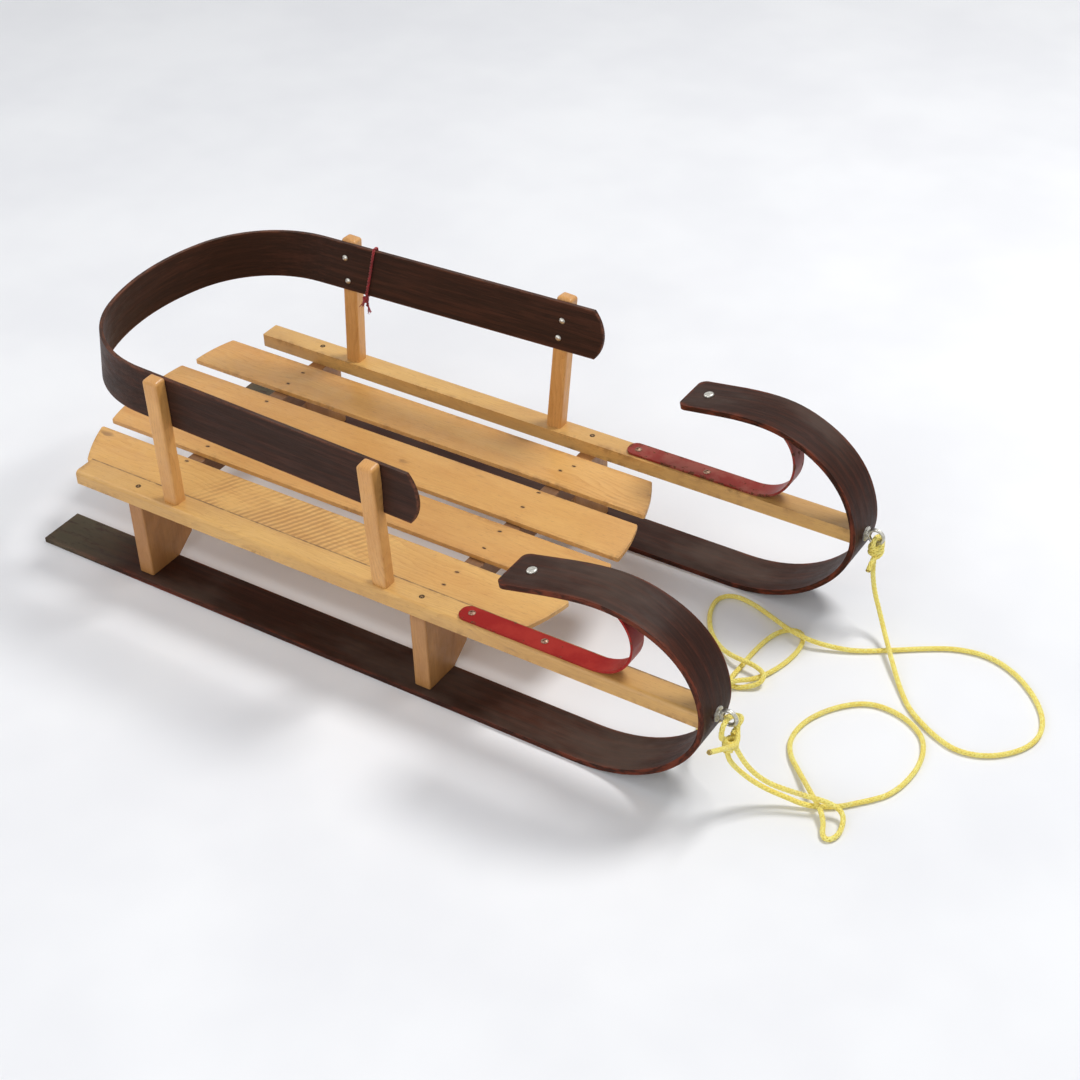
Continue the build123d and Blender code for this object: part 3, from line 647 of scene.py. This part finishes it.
def runner_run(place):
    """How far along a runner a point is, following its curl, and how far off the middle."""
    best = (math.inf, 0.0, 0.0)
    walked = 0.0
    for start, end in zip(curl_path, curl_path[1:]):
        leg = end - start
        point = Vector((place.x, place.z))
        share = max(0.0, min(1.0, (point - start).dot(leg) / leg.length_squared))
        gap = point - start - leg * share
        if gap.length < best[0]:
            side = 1 if leg.x * gap.y - leg.y * gap.x > 0 else -1
            best = (gap.length, walked + share * leg.length, side * gap.length)
        walked += leg.length
    return best[1], best[2]


def guard_run(place):
    """How far round the guard a point is from its rear middle, how high, and how far out."""
    behind = place.x - guard_bend_start
    if behind < 0:
        run = guard_bend_radius * math.atan2(place.y, -behind)
    else:
        run = math.copysign(guard_bend_run + behind, place.y)
    return run, place.z, math.hypot(place.y, min(0.0, behind))


def cut_across(mesh, axis, places):
    """Cuts the mesh at these places along an axis, so that tints can vary over it."""
    direction = Vector((0, 0, 0))
    direction[axis] = 1.0
    for place in places:
        bmesh.ops.bisect_plane(mesh, geom=mesh.verts[:] + mesh.edges[:] + mesh.faces[:],
                               plane_co=direction * place, plane_no=direction, dist=1e-6)


def dressed(node, name, slot, material, along="x", seed=0.0, bevel=0.0008, cell=0.0, nails=(), cuts=(),
            shade=0.0, seam=None):
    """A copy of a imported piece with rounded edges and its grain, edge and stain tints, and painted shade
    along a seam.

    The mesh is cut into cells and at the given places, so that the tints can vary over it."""
    source = nodes[node]
    mesh = bmesh.new()
    mesh.from_mesh(source.data)
    bmesh.ops.remove_doubles(mesh, verts=mesh.verts, dist=2e-6)
    if cell:
        bmesh.ops.dissolve_limit(mesh, angle_limit=flat_angle, verts=mesh.verts, edges=mesh.edges)
    for loose in [v for v in mesh.verts if not v.link_faces]:
        mesh.verts.remove(loose)
    sharp = [e for e in mesh.edges if len(e.link_faces) == 2 and e.calc_face_angle(0) > sharp_angle]
    on_edges = []
    for e in sharp:
        steps = int(e.calc_length() / edge_step) + 2
        on_edges += [e.verts[0].co.lerp(e.verts[1].co, step / (steps - 1)) for step in range(steps)]
    ridge = KDTree(len(on_edges))
    for number, place in enumerate(on_edges):
        ridge.insert(place, number)
    ridge.balance()
    bmesh.ops.bevel(mesh, geom=sharp, offset=bevel, offset_type="OFFSET", segments=2, profile=0.6,
                    affect="EDGES", clamp_overlap=True)
    low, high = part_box(node)
    if cell:
        for axis in (0, 1, 2):
            count = int((high[axis] - low[axis]) / cell)
            if count > 1:
                step = (high[axis] - low[axis]) / count
                cut_across(mesh, axis, [low[axis] + step * number for number in range(1, count)])
    for axis, places in cuts:
        cut_across(mesh, axis, places)
    for nail in nails:
        if low[1] < nail[1] < high[1]:
            for axis in (0, 1):
                cut_across(mesh, axis, [nail[axis] + side * reach for side in (1, -1) for reach in nail_cuts])
    data = kept_mesh(mesh, name)
    labels = ("grain", "edge", "stain_and_shade", "bare", "shade", "up")
    for label in labels:
        data.attributes.new(label, "FLOAT_VECTOR" if label == "grain" else "FLOAT", "POINT")
    grain, edge, stain_and_shade, bare, tint, upward = [data.attributes[label] for label in labels]
    shift = Vector((0.31 * seed, 0.173 * seed, 0.057 * seed))
    for number, vertex in enumerate(data.vertices):
        place = vertex.co
        if along == "curl":
            run, off = runner_run(place)
            kept = Vector((run, place.y, off))
        elif along == "band":
            kept = Vector(guard_run(place))
        else:
            kept = Vector([place[axis] for axis in grain_axes[along]])
        grain.data[number].vector = kept + shift
        edge.data[number].value = math.exp(-ridge.find(place)[2] / edge_reach)
        tint.data[number].value = shade
        upward.data[number].value = max(0.0, vertex.normal.z)
        marks = [math.dist(place, nail) for nail in nails]
        stain_and_shade.data[number].value = max(0.0, 1 - min(marks) / stain_reach) if marks else 0.0
        # Painted shade: a dark line along a rail's inner top edge, where it meets the slat
        if seam is not None and abs(place.y - seam) < seam_width and place.z > high.z - seam_depth:
            stain_and_shade.data[number].value = seam_shade
        if along == "curl":
            bare.data[number].value = max(0.0, min(1.0, 1.4 - kept.x / worn_run))
    data.materials.append(material)
    smooth(data, 50)
    piece = link(bpy.data.objects.new(name, data))
    weights = piece.modifiers.new("weights", "WEIGHTED_NORMAL")
    weights.keep_sharp = True
    piece.data = plain_mesh(piece, name)
    piece.modifiers.clear()
    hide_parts(node)
    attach(piece, "root")
    return piece


# Nails: two through each slat into each bench, as places ahead and to the left. Each slat has its shade
slat_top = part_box("slat_left_middle")[1].z
nail_rows = {
    "right_wide": ((0.0942, -0.121), (0.0942, -0.149), (-0.3428, -0.106), (-0.3428, -0.150)),
    "right_middle": ((0.0942, -0.027), (0.0962, -0.065), (-0.3428, -0.030), (-0.3408, -0.066)),
    "left_middle": ((0.0922, 0.066), (0.0912, 0.030), (-0.3408, 0.058), (-0.3438, 0.020)),
    "left_wide": ((0.0902, 0.121), (0.1002, 0.138), (-0.3428, 0.108), (-0.3418, 0.140)),
}
slat_shades = (0.0, 0.65, 0.25, 0.0)
for number, (slat_name, spots) in enumerate(nail_rows.items()):
    dressed("slat_" + slat_name, "board_" + slat_name, "pale_wood",
            slat_figured if slat_name == "right_wide" else slat_wood,
            seed=number * 1.7, bevel=0.0008, cell=0.007, nails=[(x, y, slat_top) for x, y in spots],
            shade=slat_shades[number])

# Both sides' pieces: rails with two screws each, runners, straps, legs and posts
rail_middle = 0.1938
rail_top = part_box("rail_left")[1].z
screw_spots = [(x, side * rail_middle) for x in (-0.3468, 0.0945) for side in (1, -1)]
for number, side in enumerate(("left", "right")):
    # The right rail gets a painted shade line along its inner top edge
    darkening = {}
    if side == "right":
        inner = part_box("rail_right")[1].y
        darkening = {"seam": inner, "cuts": [(1, [inner - reach for reach in seam_cuts])]}
    dressed("rail_" + side, "edge_rail_" + side, "pale_wood", rail_wood, seed=7.3 + number, bevel=0.001,
            cell=0.007, nails=[(x, y, rail_top) for x, y in screw_spots], shade=0.3 * number, **darkening)
    low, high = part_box("runner_" + side)
    across = [low.y + (high.y - low.y) * share for share in (0.06, 0.14, 0.3, 0.5, 0.7, 0.86, 0.94)]
    dressed("runner_" + side, "bent_runner_" + side, "dark_wood", runner_wood, along="curl",
            seed=3.1 + number, bevel=0.0012,
            cuts=[(1, across), (0, [low.x + 0.02 * step for step in range(1, 41)])])
    low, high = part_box("strap_" + side)
    dressed("strap_" + side, "bent_strap_" + side, "red_steel", (strap_faded, strap_red)[number],
            bevel=0.0005, cuts=[(1, [low.y + (high.y - low.y) * share for share in (0.2, 0.4, 0.6, 0.8)])])
    for place in ("front", "rear"):
        tail = place + "_" + side
        dressed("leg_" + tail, "bench_leg_" + tail, "pale_wood", leg_wood_shaded, along="z", seed=5.2 + number,
                bevel=0.001, cell=0.008)
        dressed("post_" + tail, "guard_post_" + tail, "pale_wood", post_wood, along="z", seed=9.7 + number,
                bevel=0.0008, cell=0.008)

# The crossbars and the guard
for place in ("front", "rear"):
    dressed("crossbar_" + place, "bench_bar_" + place, "pale_wood", crossbar_wood_shaded, along="y", seed=4.4,
            bevel=0.001, cell=0.01)
low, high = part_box("guard_band")
dressed("guard_band", "bent_guard", "dark_wood", guard_wood, along="band", seed=2.2, bevel=0.0012,
        cuts=[(2, [low.z + (high.z - low.z) * share for share in (0.05, 0.14, 0.32, 0.5, 0.68, 0.86, 0.95)]),
              (0, [low.x + 0.03 * step for step in range(2, 19)])])


# Fixings: nail, screw and rivet heads set out from lists of places
def head_mesh(name, profile, slots=0, steps=20):
    """A round head turned from its half outline, with a driver's slot or cross cut in."""
    mesh = bmesh.new()
    rings = []
    for radius, height in profile:
        if radius == 0:
            rings.append([mesh.verts.new((0, 0, height))])
        else:
            rings.append([mesh.verts.new((radius * math.cos(full_turn * step / steps),
                                          radius * math.sin(full_turn * step / steps), height))
                          for step in range(steps)])
    for inner, outer in zip(rings, rings[1:]):
        for step in range(steps):
            after = (step + 1) % steps
            if len(inner) == 1:
                mesh.faces.new((inner[0], outer[step], outer[after]))
            elif len(outer) == 1:
                mesh.faces.new((inner[step], outer[0], inner[after]))
            else:
                mesh.faces.new((inner[step], outer[step], outer[after], inner[after]))
    bmesh.ops.recalc_face_normals(mesh, faces=mesh.faces)
    head = link(bpy.data.objects.new(name, kept_mesh(mesh, name)))
    if slots:
        reach = max(radius for radius, height in profile)
        top = max(height for radius, height in profile)
        cutter = bmesh.new()
        for turn in range(slots):
            arm = bmesh.ops.create_cube(cutter, size=1.0)["verts"]
            long_way = reach * (2.4 if slots == 1 else 1.2)
            bmesh.ops.scale(cutter, vec=(long_way, reach * 0.28, reach * 0.5), verts=arm)
            bmesh.ops.rotate(cutter, verts=arm, cent=(0, 0, 0),
                             matrix=Matrix.Rotation(turn * math.pi / 2, 3, "Z"))
            bmesh.ops.translate(cutter, verts=arm, vec=(0, 0, top))
        tool = link(bpy.data.objects.new(name + "_cutter", kept_mesh(cutter, name + "_cutter")))
        cut = head.modifiers.new("slot", "BOOLEAN")
        cut.object = tool
        cut.operation = "DIFFERENCE"
        cut.solver = "EXACT"
        cut.use_self = True
        head.data = plain_mesh(head, name)
        head.modifiers.clear()
        bpy.data.objects.remove(tool)
    smooth(head.data, 40)
    return head


def fixing_tree():
    """The tree that sets a head on every point, facing the way the point says."""
    tree = bpy.data.node_groups.new("heads on points", "GeometryNodeTree")
    sockets(tree, "INPUT", "Geometry", "Geometry")
    sockets(tree, "INPUT", "Object", "Head")
    sockets(tree, "INPUT", "Material", "Material")
    sockets(tree, "INPUT", "Int", "Seed")[0].default_value = 3
    sockets(tree, "INPUT", "Float", "Spin")[0].default_value = 1.5
    sockets(tree, "OUTPUT", "Geometry", "Geometry")
    source = put(tree, "NodeGroupInput").outputs
    head = put(tree, "GeometryNodeObjectInfo", {"Object": source["Head"]}).outputs["Geometry"]
    facing = out(tree, "GeometryNodeInputNamedAttribute", {"Name": "facing"}, data_type="FLOAT_VECTOR")
    chosen = put(tree, "FunctionNodeRandomValue", {2: -1.0, 3: 1.0, "Seed": source["Seed"]},
                 data_type="FLOAT")
    spin = times(tree, chosen.outputs[1], source["Spin"])
    turned = out(tree, "FunctionNodeAxisAngleToRotation", {"Axis": (0, 0, 1), "Angle": spin})
    aimed = out(tree, "FunctionNodeAlignRotationToVector", {"Rotation": turned, "Vector": facing}, axis="Z")
    placed = out(tree, "GeometryNodeInstanceOnPoints", {"Points": source["Geometry"], "Instance": head,
                                                        "Rotation": aimed})
    solid = out(tree, "GeometryNodeRealizeInstances", {"Geometry": placed})
    done = out(tree, "GeometryNodeSetMaterial", {"Geometry": solid, "Material": source["Material"]})
    put(tree, "NodeGroupOutput", {"Geometry": done})
    return tree


head_setter = fixing_tree()


def fixings(name, head, material, spots, spin=1.5):
    """One piece with a head at every place in a list of places and directions."""
    data = bpy.data.meshes.new(name + "_places")
    data.from_pydata([place for place, facing in spots], [], [])
    facing_way = data.attributes.new("facing", "FLOAT_VECTOR", "POINT")
    for number, (place, facing) in enumerate(spots):
        facing_way.data[number].vector = facing
    places = link(bpy.data.objects.new(name + "_places", data))
    setter = places.modifiers.new("heads", "NODES")
    setter.node_group = head_setter
    set_inputs(setter, {"Head": head, "Material": material, "Spin": spin})
    mesh = plain_mesh(places, name)
    for extra in (places, head):
        bpy.data.objects.remove(extra)
    piece = link(bpy.data.objects.new(name, mesh))
    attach(piece, "root")
    return piece


# Nail heads, a little longer along the grain, and the screws' heads
nail_head = head_mesh("nail_head", [(0, 0.0003), (0.0015, 0.0002), (0.0025, 0.0001), (0.0027, -0.0004)])
nail_head.data.transform(Matrix.Diagonal((1.15, 0.50, 1.0, 1.0)))
nail_spots = [((x, y, slat_top), (0, 0, 1)) for spots in nail_rows.values() for x, y in spots]
fixings("slat_nails", nail_head, nail_steel, nail_spots, spin=0.3)
screw_head = head_mesh("screw_head", [(0, 0.0001), (0.0022, 0.0001), (0.0034, 0.00015), (0.0038, -0.0003)], 2)
fixings("rail_screws", screw_head, hole_steel, [((x, y, rail_top), (0, 0, 1)) for x, y in screw_spots])
strap_middle = 0.1924
strap_thick = 0.0034
strap_top = rail_top + strap_thick
oval_head = head_mesh("oval_head", [(0, 0.0022), (0.002, 0.002), (0.0036, 0.0012), (0.0046, 0.0003),
                                    (0.0046, -0.0002)], 1)
fixings("strap_screws", oval_head, dull_steel, [((x, side * strap_middle, strap_top), (0, 0, 1))
                                                for x in (0.1650, 0.2650) for side in (1, -1)])

# Rivets through the guard into the posts, and the rope's fused ends
rivet_head = head_mesh("rivet_head", [(0, 0.0024), (0.0018, 0.0022), (0.0034, 0.0013), (0.0044, 0.0),
                                      (0.0044, -0.0006)])
rivet_places = ((-0.2843, 0.1852, 0.2974), (-0.2823, 0.1843, 0.2632), (0.0489, 0.1982, 0.2931),
                (0.0429, 0.1972, 0.2666))
fixings("guard_rivets", rivet_head, zinc, [((x, side * y, z), (0, -side, 0.03)) for x, y, z in rivet_places
                                           for side in (1, -1)])
fused_end = head_mesh("fused_end", [(0, 0.0011), (0.0016, 0.0009), (0.0027, 0.0002), (0.0032, -0.0009),
                                    (0.0030, -0.0022)])
tail_ends = [(path[-1], Vector(path[-1]) - Vector(path[-4])) for path in (knot_left_path, knot_right_path)]
fixings("rope_ends", fused_end, rope_melted, tail_ends)

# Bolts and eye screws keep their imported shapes
for node in ("tip_bolt_left", "tip_bolt_right", "eye_screw_left", "eye_screw_right"):
    nodes[node].data.materials.clear()
    nodes[node].data.materials.append(zinc)


# Floor and light
floor_reach = 9.0
fade_from, fade_to = 1.6, 4.5
white_seen = 0.9


def studio():
    """A pale floor that fades to white far off, a high soft key from the left of the front, two fills."""
    material, tree, surface = new_material("pale floor")
    place = put(tree, "ShaderNodeTexCoord").outputs["Object"]
    cloud = noise(tree, place, 3.0, 3.0)
    colour = mix(tree, spread(tree, cloud, 0.3, 0.7), tone(237, 237, 239), tone(244, 244, 245))
    feed(tree, surface, {"Base Color": colour, "Roughness": 0.75})
    away = put(tree, "ShaderNodeVectorMath", {0: place}, operation="LENGTH").outputs["Value"]
    far = times(tree, spread(tree, away, fade_from, fade_to),
                put(tree, "ShaderNodeLightPath").outputs["Is Camera Ray"])
    pale = out(tree, "ShaderNodeEmission", {"Color": (1, 1, 1, 1), "Strength": white_seen})
    faded = out(tree, "ShaderNodeMixShader", {0: far, 1: surface.outputs[0], 2: pale})
    feed(tree, tree.nodes["Material Output"], {"Surface": faded})
    mesh = bpy.data.meshes.new("floor")
    mesh.from_pydata([(x * floor_reach, y * floor_reach, 0) for x, y in ((-1, -1), (1, -1), (1, 1), (-1, 1))],
                     [], [(0, 1, 2, 3)])
    mesh.materials.append(material)
    link(bpy.data.objects.new("floor", mesh))
    for name, place, aim, size, power in (
            ("key", (1.1, 1.5, 3.1), (0, 0, 0.1), 1.1, 73.0),
            ("fill", (0.2, -2.6, 1.5), (0, 0, 0.1), 2.6, 28.0),
            ("side", (-2.4, -0.6, 1.6), (0, 0, 0.1), 2.0, 14.0)):
        data = bpy.data.lights.new(name, "AREA")
        data.shape = "DISK"
        data.size = size
        data.energy = power
        lamp = link(bpy.data.objects.new(name, data))
        lamp.location = place
        lamp.rotation_euler = (Vector(aim) - Vector(place)).to_track_quat("-Z", "Y").to_euler()
    world = bpy.data.worlds.new("room")
    scene.world = world
    world.use_nodes = True
    tree = world.node_tree
    tree.nodes.clear()
    paths = put(tree, "ShaderNodeLightPath").outputs
    seen = maths(tree, "MAXIMUM", paths["Is Camera Ray"],
                 maths(tree, "MAXIMUM", paths["Is Glossy Ray"], paths["Is Transmission Ray"]))
    room = out(tree, "ShaderNodeBackground", {"Color": (0.92, 0.95, 1.0, 1.0), "Strength": 0.42})
    white = out(tree, "ShaderNodeBackground", {"Color": (1, 1, 1, 1), "Strength": white_seen})
    both = out(tree, "ShaderNodeMixShader", {0: seen, 1: room, 2: white})
    put(tree, "ShaderNodeOutputWorld", {"Surface": both})
    scene.view_settings.view_transform = "Standard"


studio()
